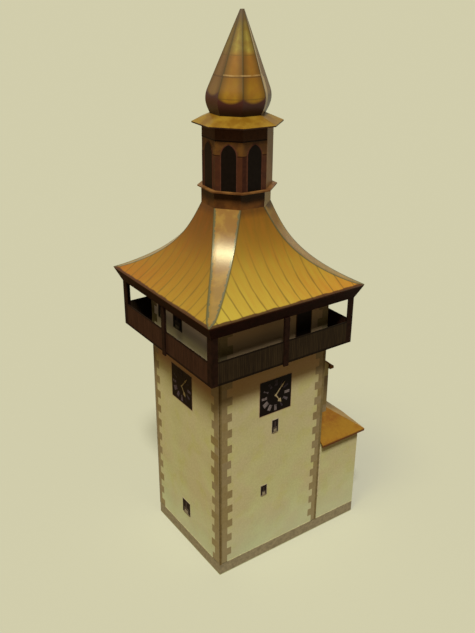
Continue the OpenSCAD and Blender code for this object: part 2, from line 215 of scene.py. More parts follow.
def rule(tree, ground, ink, value, middle, half_width, strength):
    """A line of another ink over the ground, where the value is near the middle."""
    on_line = add(tree, "ShaderNodeMath", {
        0: value, 1: middle, 2: half_width,
    }, operation="COMPARE")
    share = add(tree, "ShaderNodeMath", {0: on_line, 1: strength}, operation="MULTIPLY")
    return add(tree, "ShaderNodeMixRGB", {"Fac": share, "Color1": ground, "Color2": ink})


# ---- Materials ----


def plaster_print():
    """Lime plaster drawn in watercolour and printed on matt card: pinkish buff with
    yellow-green stains and a fine stipple, paler and greener towards the foot. Painted light
    lies on the foot of the walls, painted shadow under the gallery, and painted light and
    shade behind the parapet."""
    made, tree, shader, place = start_print("printed_plaster_card", 0.58)
    parts = add(tree, "ShaderNodeSeparateXYZ", {0: place})
    height = parts.outputs["Z"]
    buff = fade(tree, "#aeb685", "#a89e72", height, 0.0, CEILING_Z * MM)
    pink = patch(tree, place, buff, "#aea981", 15)
    stained = patch(tree, place, pink, "#a6a762", 9, 0.55, 0.48, 0.72, 5.0)
    stippled = patch(tree, place, stained, "#7d7754", 0.9, 0.22, 0.3, 0.7, 4.0)
    # Painted light: a pale green glow over the foot of the walls, for light thrown up from the ground.
    foot_bounce_lit = fade(tree, stippled, "#b0bfa2", height, 4 * MM, 32 * MM, 0.5, 0.0)
    is_side = add(tree, "ShaderNodeMath", {
        0: add(tree, "ShaderNodeMath", {0: parts.outputs["X"]}, operation="ABSOLUTE"),
        1: (TOWER_X - 0.2) * MM,
    }, operation="GREATER_THAN")
    # Painted shadow under the gallery: a brown shade, stronger on the side walls.
    gallery_shadow = add(tree, "ShaderNodeMapRange", {
        "Value": height, "From Min": (GALLERY_Z - 20) * MM, "From Max": (GALLERY_Z - 9) * MM,
        "To Max": 0.55,
    }, interpolation_type="SMOOTHSTEP")
    gallery_shadow_share = add(tree, "ShaderNodeMath", {
        0: gallery_shadow, 1: add(tree, "ShaderNodeMapRange", {"Value": is_side, "To Min": 1.0, "To Max": 1.4}),
    }, operation="MULTIPLY")
    gallery_shadowed = add(tree, "ShaderNodeMixRGB", {
        "Fac": gallery_shadow_share, "Color1": foot_bounce_lit, "Color2": "#8e6234",
    })
    # Behind the parapet, painted light and shade: the front and back walls go to a darker brown for
    # shade, and the side walls to near-bare paper for the light that reaches them.
    gallery_light_and_shade_ink = add(tree, "ShaderNodeMixRGB", {
        "Fac": is_side, "Color1": "#a08c6c", "Color2": "#e6dcc8",
    })
    gallery_painted_light = fade(tree, gallery_shadowed, gallery_light_and_shade_ink, height, GALLERY_Z * MM, FLOOR_Z * MM, 0.0, 0.9)
    finish_print(tree, shader, place, gallery_painted_light)
    return made


def quoin_print():
    """Sandstone corner blocks in ink, each of its own tone between mauve and olive, and
    paler low down."""
    made, tree, shader, place = start_print("printed_sandstone_card", 0.56)
    tone = add(tree, "ShaderNodeAttribute", attribute_name="tone").outputs["Fac"]
    block = add(tree, "ShaderNodeMixRGB", {
        "Fac": tone, "Color1": "#7a6f53", "Color2": "#72643d",
    })
    grained = patch(tree, place, block, "#8c7f5b", 1.3, 0.35, 0.35, 0.7)
    height = add(tree, "ShaderNodeSeparateXYZ", {0: place}).outputs["Z"]
    paled = fade(tree, grained, "#8d8766", height, 0.0, 60 * MM, 0.5, 0.0)
    finish_print(tree, shader, place, paled)
    return made


def ink_print(name, roughness):
    """Small printed shapes, each in the ink of its own faces."""
    made, tree, shader, place = start_print(name, roughness, 0.06)
    ink = add(tree, "ShaderNodeAttribute", attribute_name="ink").outputs["Color"]
    uneven = add(tree, "ShaderNodeMapRange", {
        "Value": mottle(tree, place, 1.4, 0.25, 0.75), "To Min": 0.78, "To Max": 1.14,
    })
    shade = add(tree, "ShaderNodeVectorMath", {0: ink, "Scale": uneven}, operation="SCALE")
    finish_print(tree, shader, place, shade, 0.7)
    return made


def timber_print(name, axis, dark, pale):
    """Weathered oak boards drawn upright on a parapet, between two dark rails."""
    made, tree, shader, place = start_print(name, 0.55, 0.03)
    parts = add(tree, "ShaderNodeSeparateXYZ", {0: place})
    board = add(tree, "ShaderNodeMath", {
        0: parts.outputs[axis], 1: BOARD_W * MM,
    }, operation="DIVIDE")
    own_tone = add(tree, "ShaderNodeTexWhiteNoise", {
        "W": add(tree, "ShaderNodeMath", {0: board}, operation="FLOOR"),
    }, noise_dimensions="1D")
    stretched = add(tree, "ShaderNodeVectorMath", {
        0: place, 1: (1.0, 1.0, 0.12),
    }, operation="MULTIPLY")
    grain = mottle(tree, stretched, 0.8, 0.3, 0.7, 4.0)
    tone = add(tree, "ShaderNodeMath", {
        0: add(tree, "ShaderNodeMath", {0: own_tone.outputs["Value"], 1: 0.4}, operation="MULTIPLY"),
        1: add(tree, "ShaderNodeMath", {0: grain, 1: 0.6}, operation="MULTIPLY"),
    }, operation="ADD")
    wood = add(tree, "ShaderNodeMixRGB", {"Fac": tone, "Color1": dark, "Color2": pale})
    gap = add(tree, "ShaderNodeMath", {
        0: add(tree, "ShaderNodeMath", {0: board}, operation="FRACT"), 1: 0.3,
    }, operation="LESS_THAN")
    rail = add(tree, "ShaderNodeMath", {
        0: add(tree, "ShaderNodeMath", {
            0: parts.outputs["Z"], 1: (PARAPET_Z - 0.5) * MM,
        }, operation="GREATER_THAN"),
        1: add(tree, "ShaderNodeMath", {
            0: parts.outputs["Z"], 1: (GALLERY_Z + 1.0) * MM,
        }, operation="LESS_THAN"),
    }, operation="MAXIMUM")
    drawn = add(tree, "ShaderNodeMath", {
        0: add(tree, "ShaderNodeMath", {0: gap, 1: 0.55}, operation="MULTIPLY"),
        1: add(tree, "ShaderNodeMath", {0: rail, 1: 0.8}, operation="MULTIPLY"),
    }, operation="MAXIMUM")
    lined = add(tree, "ShaderNodeMixRGB", {"Fac": drawn, "Color1": wood, "Color2": "#0e0906"})
    finish_print(tree, shader, place, lined, 0.8)
    return made


def beam_print(name, dark, pale, eave_ink=None):
    """Stained timber in streaks: posts, cornices, the gallery's floor and ceiling, and the
    bay's roof. The eave ink, if any, is the worn upper edge of a cornice."""
    made, tree, shader, place = start_print(name, 0.55, 0.03)
    wood = patch(tree, place, dark, pale, 2.2, 1.0, 0.3, 0.7, 5.0)
    if eave_ink:
        height = add(tree, "ShaderNodeSeparateXYZ", {0: place}).outputs["Z"]
        wood = fade(tree, wood, eave_ink, height, (EAVE_Z - 1.3) * MM, (EAVE_Z - 0.7) * MM)
    finish_print(tree, shader, place, wood, 0.8)
    return made


def roof_maps(tree):
    """Millimetres across and up a side of the roof, from its left edge, and from the nearer
    of its two edges."""
    cut, rim = (
        add(tree, "ShaderNodeSeparateXYZ", {0: add(tree, "ShaderNodeUVMap", uv_map=label)})
        for label in ("cut", "rim")
    )
    nearer = add(tree, "ShaderNodeMath", {
        0: rim.outputs["X"], 1: rim.outputs["Y"],
    }, operation="MINIMUM")
    return cut.outputs["X"], cut.outputs["Y"], rim.outputs["X"], nearer


def roof_print(name, shade_tint):
    """Copper sheets with standing seams, drawn in ochre ink on satin card. The seams run up
    the slope. The ink browns towards the top, and goes from olive to orange along the
    eaves. The shade tint darkens the whole sheet: on the side slopes it is painted shade."""
    made, tree, shader, place = start_print(name, 0.42, 0.2)
    across, up, _, nearer_edge = roof_maps(tree)
    ochre = fade(tree, "#937c29", "#775e1a", up, 0, 30)
    browned = fade(tree, ochre, "#5b3b0c", up, 20, 46)
    stretched = add(tree, "ShaderNodeVectorMath", {
        0: add(tree, "ShaderNodeCombineXYZ", {"X": across, "Y": up}), 1: (1.0, 0.16, 1.0),
    }, operation="MULTIPLY")
    streaks = add(tree, "ShaderNodeTexNoise", {
        "Vector": stretched, "Scale": 0.42, "Detail": 4.0, "Roughness": 0.6,
    })
    streaked = fade(tree, browned, "#855418", streaks, 0.35, 0.7, 0.0, 0.5)
    # From the front left corner to the back right one.
    diagonal = add(tree, "ShaderNodeVectorMath", {
        0: place, 1: (1.0, 1.0, 0.0),
    }, operation="DOT_PRODUCT").outputs["Value"]
    olive = fade(tree, streaked, "#98923a", diagonal, -75 * MM, -20 * MM, 0.5, 0.0)
    orange_share = add(tree, "ShaderNodeMath", {
        0: add(tree, "ShaderNodeMapRange", {
            "Value": up, "From Min": 2.0, "From Max": 12.0, "To Min": 0.5, "To Max": 0.0,
        }),
        1: add(tree, "ShaderNodeMapRange", {
            "Value": diagonal, "From Min": -40 * MM, "From Max": 0.0,
        }),
    }, operation="MULTIPLY")
    orange = add(tree, "ShaderNodeMixRGB", {
        "Fac": orange_share, "Color1": olive, "Color2": "#94521a",
    })
    # Painted shade over the whole sheet, where the tint is not white.
    shade_tinted = add(tree, "ShaderNodeMixRGB", {
        "Fac": 1.0, "Color1": orange, "Color2": shade_tint,
    }, blend_type="MULTIPLY")
    # The seams waver a little, and are fainter towards the top.
    waver = add(tree, "ShaderNodeTexNoise", {"Vector": stretched, "Scale": 0.9, "Detail": 2.0})
    off_seam = add(tree, "ShaderNodeMath", {
        0: add(tree, "ShaderNodeMath", {0: waver, 1: 0.9, 2: across}, operation="MULTIPLY_ADD"),
        1: SEAM_PITCH / 2,
    }, operation="PINGPONG")
    seam_share = add(tree, "ShaderNodeMath", {
        0: add(tree, "ShaderNodeMapRange", {
            "Value": off_seam, "From Min": 0.12, "From Max": 0.48, "To Min": 0.68, "To Max": 0.0,
        }),
        1: add(tree, "ShaderNodeMapRange", {
            "Value": up, "From Min": 10.0, "From Max": 32.0, "To Min": 1.0, "To Max": 0.2,
        }),
    }, operation="MULTIPLY")
    seamed = add(tree, "ShaderNodeMixRGB", {
        "Fac": seam_share, "Color1": shade_tinted, "Color2": "#554619",
    })
    edged = fade(tree, seamed, "#3e3d23", nearer_edge, 0.2, 0.75, 0.85, 0.0)
    # Painted shadow right under the collar, and a ragged dark line along the eaves.
    height = add(tree, "ShaderNodeSeparateXYZ", {0: place}).outputs["Z"]
    shade_foot, shade_top = (ROOF_TOP_Z - 3.6) * MM, (ROOF_TOP_Z - 1.2) * MM
    collar_shadowed = fade(tree, edged, "#3a2106", height, shade_foot, shade_top, 0.0, 0.55)
    ragged_up = add(tree, "ShaderNodeMath", {
        0: mottle(tree, place, 6.0), 1: -0.4, 2: up,
    }, operation="MULTIPLY_ADD")
    finished = fade(tree, collar_shadowed, "#33190f", ragged_up, 0.6, 1.05, 0.92, 0.0)
    finish_print(tree, shader, place, finished)
    return made


def hip_print():
    """The chamfer strips, on the same card but left pale, varnished, and edged in a ragged
    green-grey line."""
    made, tree, shader, place = start_print("printed_varnished_hip_card", 0.5, 0.15)
    _, up, from_left, nearer_edge = roof_maps(tree)
    tan = fade(tree, "#70581e", "#6c4c14", up, 8, 34, ease="SMOOTHSTEP")
    patched = patch(tree, place, tan, "#7c6020", 4.0, 1.0, 0.4, 0.7)
    ragged_edge = add(tree, "ShaderNodeMath", {
        0: mottle(tree, place, 1.6), 1: -0.55, 2: nearer_edge,
    }, operation="MULTIPLY_ADD")
    edged = fade(tree, patched, "#43442b", ragged_edge, 0.25, 0.6, 0.9, 0.0)
    # The varnish thins out towards the collar, and is rubbed along its left edge.
    varnish = add(tree, "ShaderNodeMapRange", {
        "Value": up, "From Min": 37.0, "From Max": 46.0, "To Min": 0.65, "To Max": 0.08,
    })
    rubbed = add(tree, "ShaderNodeMapRange", {
        "Value": from_left, "From Min": 0.2, "From Max": 2.2, "To Min": 0.3, "To Max": 1.0,
    })
    left_on = add(tree, "ShaderNodeMath", {0: varnish, 1: rubbed}, operation="MULTIPLY")
    tree.links.new(left_on.outputs[0], shader.inputs["Coat Weight"])
    shader.inputs["Coat Roughness"].default_value = 0.26
    shader.inputs["Coat IOR"].default_value = 2.1
    finish_print(tree, shader, place, edged)
    return made


def low_roof_print():
    """Plain copper for the annex roof: orange-brown, with a dark folded edge at the eaves."""
    made, tree, shader, place = start_print("printed_copper_sheet_card", 0.44, 0.2)
    ground = patch(tree, place, "#725314", "#67410e", 11)
    streaked = patch(tree, place, ground, "#806019", 1.6, 0.4, 0.35, 0.7, 5.0)
    height = add(tree, "ShaderNodeSeparateXYZ", {0: place}).outputs["Z"]
    fold_foot, fold_top = (ANNEX_EAVE_Z + 0.5) * MM, (ANNEX_EAVE_Z + 1.0) * MM
    edged = fade(tree, streaked, "#47160a", height, fold_foot, fold_top, 0.85, 0.0)
    finish_print(tree, shader, place, edged)
    return made


def lantern_print():
    """The lantern's stained frames: ochre under the cornice, redder below the capitals."""
    made, tree, shader, place = start_print("printed_lantern_card", 0.4, 0.14)
    height = add(tree, "ShaderNodeSeparateXYZ", {0: place}).outputs["Z"]
    red_top, ochre_foot = (LANTERN_TOP_Z - 11.6) * MM, (LANTERN_TOP_Z - 10.2) * MM
    ground = fade(tree, "#3f2315", "#563a18", height, red_top, ochre_foot)
    patched = patch(tree, place, ground, "#2e1812", 3.0, 0.55, 0.35, 0.65, 4.0)
    finish_print(tree, shader, place, patched, 0.7)
    return made


def cornice_print(name, dark, pale, roughness, foot, top_share):
    """Metal-coloured ink on the lantern's cornices, collar and lid, and on the annex's end
    roof. The top share is how much of its light is left 3.5 mm above the foot."""
    made, tree, shader, place = start_print(name, roughness, 0.14)
    ground = patch(tree, place, dark, pale, 5.0, 1.0, 0.35, 0.65, 4.0)
    shade = add(tree, "ShaderNodeMapRange", {
        "Value": add(tree, "ShaderNodeSeparateXYZ", {0: place}).outputs["Z"],
        "From Min": foot * MM, "From Max": (foot + 3.5) * MM, "To Min": 1.0, "To Max": top_share,
    })
    shaded = add(tree, "ShaderNodeVectorMath", {0: ground, "Scale": shade}, operation="SCALE")
    finish_print(tree, shader, place, shaded, 0.8)
    return made


def spire_print():
    """Beaten copper on the spire: gold and orange bands between the folds, olive seams
    down the gores, and a plum shadow drawn under the bulb with a scalloped edge."""
    made, tree, shader, place = start_print("printed_copper_spire_card", 0.36, 0.28)
    foot = Vector((LANTERN.x, LANTERN.y, SPIRE_Z)) * MM
    local = add(tree, "ShaderNodeVectorMath", {0: place, 1: foot}, operation="SUBTRACT")
    up = add(tree, "ShaderNodeMath", {
        0: add(tree, "ShaderNodeSeparateXYZ", {0: local}).outputs["Z"], 1: MM,
    }, operation="DIVIDE")
    lean = add(tree, "ShaderNodeVectorMath", {
        0: SPIRE_LEAN * MM / SPIRE_H, "Scale": up,
    }, operation="SCALE")
    upright = add(tree, "ShaderNodeSeparateXYZ", {
        0: add(tree, "ShaderNodeVectorMath", {0: local, 1: lean}, operation="SUBTRACT"),
    })
    # The gore and the share of it, counted round from the seam that starts the first one.
    gore = math.tau / SIDES
    angle = add(tree, "ShaderNodeMath", {
        0: upright.outputs["Y"], 1: upright.outputs["X"],
    }, operation="ARCTAN2")
    from_start = add(tree, "ShaderNodeMath", {
        0: angle, 1: math.radians(LANTERN_TURN) + gore / 2,
    }, operation="SUBTRACT")
    gores = add(tree, "ShaderNodeMath", {
        0: add(tree, "ShaderNodeMath", {0: from_start, 1: gore}, operation="DIVIDE"), 1: SIDES,
    }, operation="ADD")
    turns = add(tree, "ShaderNodeMath", {0: gores, 1: SIDES}, operation="MODULO")
    # 0 at the seams and 0.5 down the middle of a gore, and the other way round.
    inward = add(tree, "ShaderNodeMath", {0: turns, 1: 0.5}, operation="PINGPONG")
    outward = add(tree, "ShaderNodeMath", {0: 0.5, 1: inward}, operation="SUBTRACT")
    radius = add(tree, "ShaderNodeVectorMath", {
        0: add(tree, "ShaderNodeCombineXYZ", {
            "X": upright.outputs["X"], "Y": upright.outputs["Y"],
        }),
    }, operation="LENGTH").outputs["Value"]
    to_seam = add(tree, "ShaderNodeMath", {
        0: add(tree, "ShaderNodeMath", {0: radius, 1: gore / MM}, operation="MULTIPLY"),
        1: inward,
    }, operation="MULTIPLY")
    # 1 on the two gores that face the front, 0 on the ones round the back, which carry painted shade.
    is_front = add(tree, "ShaderNodeMath", {0: turns, 1: 5.0, 2: 1.0}, operation="COMPARE")
    lower = fade(tree, "#816217", "#6d4d09", up, 6.0, FOLD_LOW)
    middle = fade(tree, "#735317", "#825d20", up, FOLD_LOW, FOLD_HIGH)
    bands = add(tree, "ShaderNodeMixRGB", {
        "Fac": add(tree, "ShaderNodeMath", {0: up, 1: FOLD_LOW}, operation="GREATER_THAN"),
        "Color1": lower, "Color2": middle,
    })
    banded = fade(tree, bands, "#90863b", up, FOLD_HIGH - 0.6, FOLD_HIGH + 1.4)
    patched = patch(tree, place, banded, "#6e4714", 3.2, 0.45, 0.35, 0.65, 4.0)
    # Painted shade over the side and back gores.
    browned = fade(tree, patched, "#5a4630", is_front, 0.0, 1.0, 0.6, 0.0)
    # Painted shade darkens each gore towards its seams, and the seams themselves are a dark line.
    shaded = fade(tree, browned, "#4a3410", to_seam, 0.2, 3.0, 0.7, 0.0, "SMOOTHSTEP")
    seamed = fade(tree, shaded, "#2e2a10", to_seam, 0.12, 0.5, 0.6, 0.0)
    # Both folds sag a little between the seams. The lower one is worn to the paper, with a painted
    # shadow line just below it.
    sagging = add(tree, "ShaderNodeMath", {0: outward, 1: -0.3, 2: up}, operation="MULTIPLY_ADD")
    wear = add(tree, "ShaderNodeMath", {
        0: add(tree, "ShaderNodeMapRange", {
            "Value": mottle(tree, place, 2.5), "To Min": 0.2, "To Max": 0.6,
        }),
        1: is_front,
    }, operation="MULTIPLY")
    worn = rule(tree, seamed, "#9c8458", sagging, FOLD_LOW - 0.1, 0.26, wear)
    fold_shadow_line = rule(tree, worn, "#3a2610", sagging, FOLD_LOW - 0.6, 0.24, 0.5)
    high_fold = rule(tree, fold_shadow_line, "#4a3c10", sagging, FOLD_HIGH - 0.4, 0.2, 0.4)
    creased = rule(tree, high_fold, "#3e3410", sagging, 6.4, 0.16, 0.45)
    # The plum shadow under the bulb, higher at the seams and on the back gores.
    scallop = add(tree, "ShaderNodeMath", {
        0: add(tree, "ShaderNodeMath", {0: outward, 1: outward}, operation="MULTIPLY"),
        1: -7.0, 2: up,
    }, operation="MULTIPLY_ADD")
    over_shadow = add(tree, "ShaderNodeMath", {
        0: scallop,
        1: add(tree, "ShaderNodeMapRange", {"Value": is_front, "To Min": 2.4, "To Max": 0.0}),
    }, operation="SUBTRACT")
    plum = fade(tree, "#210e0c", "#3c1f1b", up, 0.5, 4.5)
    shadowed = fade(tree, creased, plum, over_shadow, 4.5, 5.5, 1.0, 0.0)
    # The glued edge of the last gore shows as a strip of bare paper beside its seam.
    glued_gore = add(tree, "ShaderNodeMath", {0: turns, 1: 6.25, 2: 0.25}, operation="COMPARE")
    strip_w = add(tree, "ShaderNodeMapRange", {
        "Value": up, "From Min": FOLD_LOW - 1.5, "From Max": FOLD_LOW + 0.5,
        "To Min": 3.3, "To Max": 1.5,
    })
    in_strip = add(tree, "ShaderNodeMath", {0: to_seam, 1: strip_w}, operation="LESS_THAN")
    off_seam = add(tree, "ShaderNodeMath", {0: to_seam, 1: 0.45}, operation="GREATER_THAN")
    bare_share = add(tree, "ShaderNodeMath", {
        0: add(tree, "ShaderNodeMath", {0: in_strip, 1: off_seam}, operation="MULTIPLY"),
        1: add(tree, "ShaderNodeMath", {0: glued_gore, 1: 0.9}, operation="MULTIPLY"),
    }, operation="MULTIPLY")
    stripped = add(tree, "ShaderNodeMixRGB", {
        "Fac": bare_share, "Color1": shadowed, "Color2": "#a8956a",
    })
    # The tip has lost its gold.
    tipped = fade(tree, stripped, "#4a3c30", up, SPIRE_H - 7, SPIRE_H - 1, 0.0, 0.8)
    finish_print(tree, shader, place, tipped, 0.7)
    return made


# ---- Meshes and pieces ----


def crease(mesh, degrees):
    """Smooths a mesh's shading, apart from its folds of more than this many degrees."""
    mesh.shade_smooth()
    mesh.set_sharp_from_angle(angle=math.radians(degrees))


def make_mesh(name, points, faces, maps=()):
    """A mesh from millimetre points. Each named map has a value for every point."""
    mesh = bpy.data.meshes.new(name)
    mesh.from_pydata([Vector(p) * MM for p in points], [], faces)
    for label, values in dict(maps).items():
        layer = mesh.uv_layers.new(name=label)
        for loop in mesh.loops:
            layer.data[loop.index].uv = values[loop.vertex_index]
    crease(mesh, 24)
    return mesh


def add_piece(name, mesh, material, slot, *replaced):
    """Shows a mesh as a piece of the model, in its material."""
    made = bpy.data.objects.new(name, mesh)
    bpy.context.scene.collection.objects.link(made)
    mesh.materials.clear()
    mesh.materials.append(material)
    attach(made, BODY)
    if replaced:
        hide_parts(*replaced)


def finish_nodes(material, *names):
    """Gives carried-over CAD nodes their material."""
    for name in names:
        for slot in NODES[name].material_slots:
            slot.material = material


class Face:
    """A flat face of the card. Places on it are (across, up), seen from outside."""

    def __init__(self, origin, along):
        self.origin = Vector(origin)
        self.along = Vector(along).normalized()
        self.up = Vector((0, 0, 1))
        self.out = self.along.cross(self.up)

    def at(self, across, up, out=0.0):
        """The point at a place on the face, or this far off it."""
        return self.origin + self.along * across + self.up * up + self.out * out


FRONT = Face((0, TOWER_FRONT, 0), (1, 0, 0))
RIGHT = Face((TOWER_X, 0, 0), (0, 1, 0))
BACK = Face((0, TOWER_BACK, 0), (-1, 0, 0))
LEFT = Face((-TOWER_X, 0, 0), (0, -1, 0))
ANNEX_SIDE_FACE = Face((ANNEX_X, 0, 0), (0, 1, 0))
ANNEX_BACK_FACE = Face((0, ANNEX_BACK, 0), (-1, 0, 0))
BAY_FRONT_FACE = Face((0, BAY_FRONT, 0), (1, 0, 0))
BAY_SIDE_FACE = Face((BAY_X, 0, 0), (0, 1, 0))
BAY_BACK_FACE = Face((0, BAY_BACK, 0), (-1, 0, 0))

# Each wall of the tower, with its left and right edges seen from outside.
TOWER_WALLS = {
    "front": (FRONT, -TOWER_X, TOWER_X), "right": (RIGHT, TOWER_FRONT, TOWER_BACK),
    "back": (BACK, -TOWER_X, TOWER_X), "left": (LEFT, -TOWER_BACK, -TOWER_FRONT),
}


class Print:
    """Printed shapes on faces of the card, gathered into one piece."""

    def __init__(self):
        self.mesh = bmesh.new()
        self.ink = self.mesh.loops.layers.float_color.new("ink")

    def shape(self, face, outline, ink, layer=1):
        """A flat shape with the given outline, anticlockwise. A higher layer lies on top."""
        colour = linear(ink)
        top = [self.mesh.verts.new(face.at(s, z, INK * layer) * MM) for s, z in outline]
        foot = [self.mesh.verts.new(face.at(s, z, -INK) * MM) for s, z in outline]
        made = [self.mesh.faces.new(top), self.mesh.faces.new(foot[::-1])]
        for i in range(len(outline)):
            j = (i + 1) % len(outline)
            made.append(self.mesh.faces.new([top[i], foot[i], foot[j], top[j]]))
        for polygon in made:
            for loop in polygon.loops:
                loop[self.ink] = colour

    def box(self, face, left, right, foot, top, ink, layer=1):
        self.shape(face, [(left, foot), (right, foot), (right, top), (left, top)], ink, layer)

    def stroke(self, face, start, end, width, ink, layer=1, end_width=None):
        """A straight line of ink, which may taper."""
        a, b = Vector(start), Vector(end)
        side = (b - a).normalized().orthogonal()
        half, far = side * width / 2, side * (end_width or width) / 2
        outline = [a - half, b - far, b + far, a + half]
        turn = (b - a).cross(side)
        self.shape(face, outline if turn > 0 else outline[::-1], ink, layer)

    def finish(self, name, material, slot):
        """Makes a piece of all the shapes."""
        bmesh.ops.recalc_face_normals(self.mesh, faces=self.mesh.faces)
        mesh = bpy.data.meshes.new(name)
        self.mesh.to_mesh(mesh)
        self.mesh.free()
        add_piece(name, mesh, material, slot)


# ---- Geometry trees ----


def start_tree(name, sockets):
    """A geometry tree with named inputs, and its input node."""
    tree = bpy.data.node_groups.new(name, "GeometryNodeTree")
    for label, kind in sockets.items():
        tree.interface.new_socket(label, in_out="INPUT", socket_type="NodeSocket" + kind)
    tree.interface.new_socket("Geometry", in_out="OUTPUT", socket_type="NodeSocketGeometry")
    return tree, tree.nodes.new("NodeGroupInput").outputs


def grow(name, tree, values):
    """Runs a geometry tree with these values, and keeps what it makes as a plain mesh."""
    host = bpy.data.objects.new(name, bpy.data.meshes.new(name))
    bpy.context.scene.collection.objects.link(host)
    modifier = host.modifiers.new("growth", "NODES")
    modifier.node_group = tree
    sockets = {
        item.name: item.identifier
        for item in tree.interface.items_tree if item.in_out == "INPUT"
    }
    for label, value in values.items():
        modifier[sockets[label]] = value
    graph = bpy.context.evaluated_depsgraph_get()
    mesh = bpy.data.meshes.new_from_object(host.evaluated_get(graph))
    bpy.data.objects.remove(host)
    return mesh


def quoin_tree():
    """Corner blocks up one edge of a wall, long and short in turn."""
    tree, given = start_tree("quoins", {
        "Foot": "Vector", "Along": "Vector", "Courses": "Int", "Rise": "Float",
        "Long": "Float", "Short": "Float", "Block": "Float", "Start": "Int",
        "Proud": "Float", "Seed": "Int", "Material": "Material",
    })
    line = add(tree, "GeometryNodeMeshLine", {
        "Count": given["Courses"], "Start Location": given["Foot"],
        "Offset": add(tree, "ShaderNodeCombineXYZ", {"Z": given["Rise"]}),
    })
    index = add(tree, "GeometryNodeInputIndex")
    turn = add(tree, "ShaderNodeMath", {
        0: add(tree, "ShaderNodeMath", {0: index, 1: given["Start"]}, operation="ADD"), 1: 2.0,
    }, operation="MODULO")
    length = add(tree, "ShaderNodeMix", {
        "Factor": turn, "A": given["Long"], "B": given["Short"],
    }, data_type="FLOAT")
    uneven = add(tree, "FunctionNodeRandomValue", {
        "Min": 0.93, "Max": 1.07, "ID": index, "Seed": given["Seed"],
    }, data_type="FLOAT")
    cut = add(tree, "ShaderNodeMath", {0: length, 1: uneven.outputs[1]}, operation="MULTIPLY")
    inward = add(tree, "ShaderNodeVectorMath", {
        0: given["Along"], "Scale": add(tree, "ShaderNodeMath", {0: cut, 1: 0.5}, operation="MULTIPLY"),
    }, operation="SCALE")
    placed = add(tree, "GeometryNodeSetPosition", {"Geometry": line, "Offset": inward})
    size = add(tree, "ShaderNodeCombineXYZ", {
        "X": cut, "Y": given["Proud"], "Z": given["Block"],
    })
    turned = add(tree, "FunctionNodeAlignRotationToVector", {"Vector": given["Along"]}, axis="X")
    blocks = add(tree, "GeometryNodeInstanceOnPoints", {
        "Points": placed, "Instance": add(tree, "GeometryNodeMeshCube"),
        "Scale": size, "Rotation": turned,
    })
    tone = add(tree, "FunctionNodeRandomValue", {
        "Min": 0.0, "Max": 1.0, "ID": index, "Seed": given["Seed"],
    }, data_type="FLOAT")
    toned = add(tree, "GeometryNodeStoreNamedAttribute", {
        "Geometry": blocks, "Name": "tone", "Value": tone.outputs[1],
    }, data_type="FLOAT", domain="INSTANCE")
    solid = add(tree, "GeometryNodeRealizeInstances", {"Geometry": toned})
    inked = add(tree, "GeometryNodeSetMaterial", {
        "Geometry": solid, "Material": given["Material"],
    })
    add(tree, "NodeGroupOutput", {"Geometry": inked})
    return tree


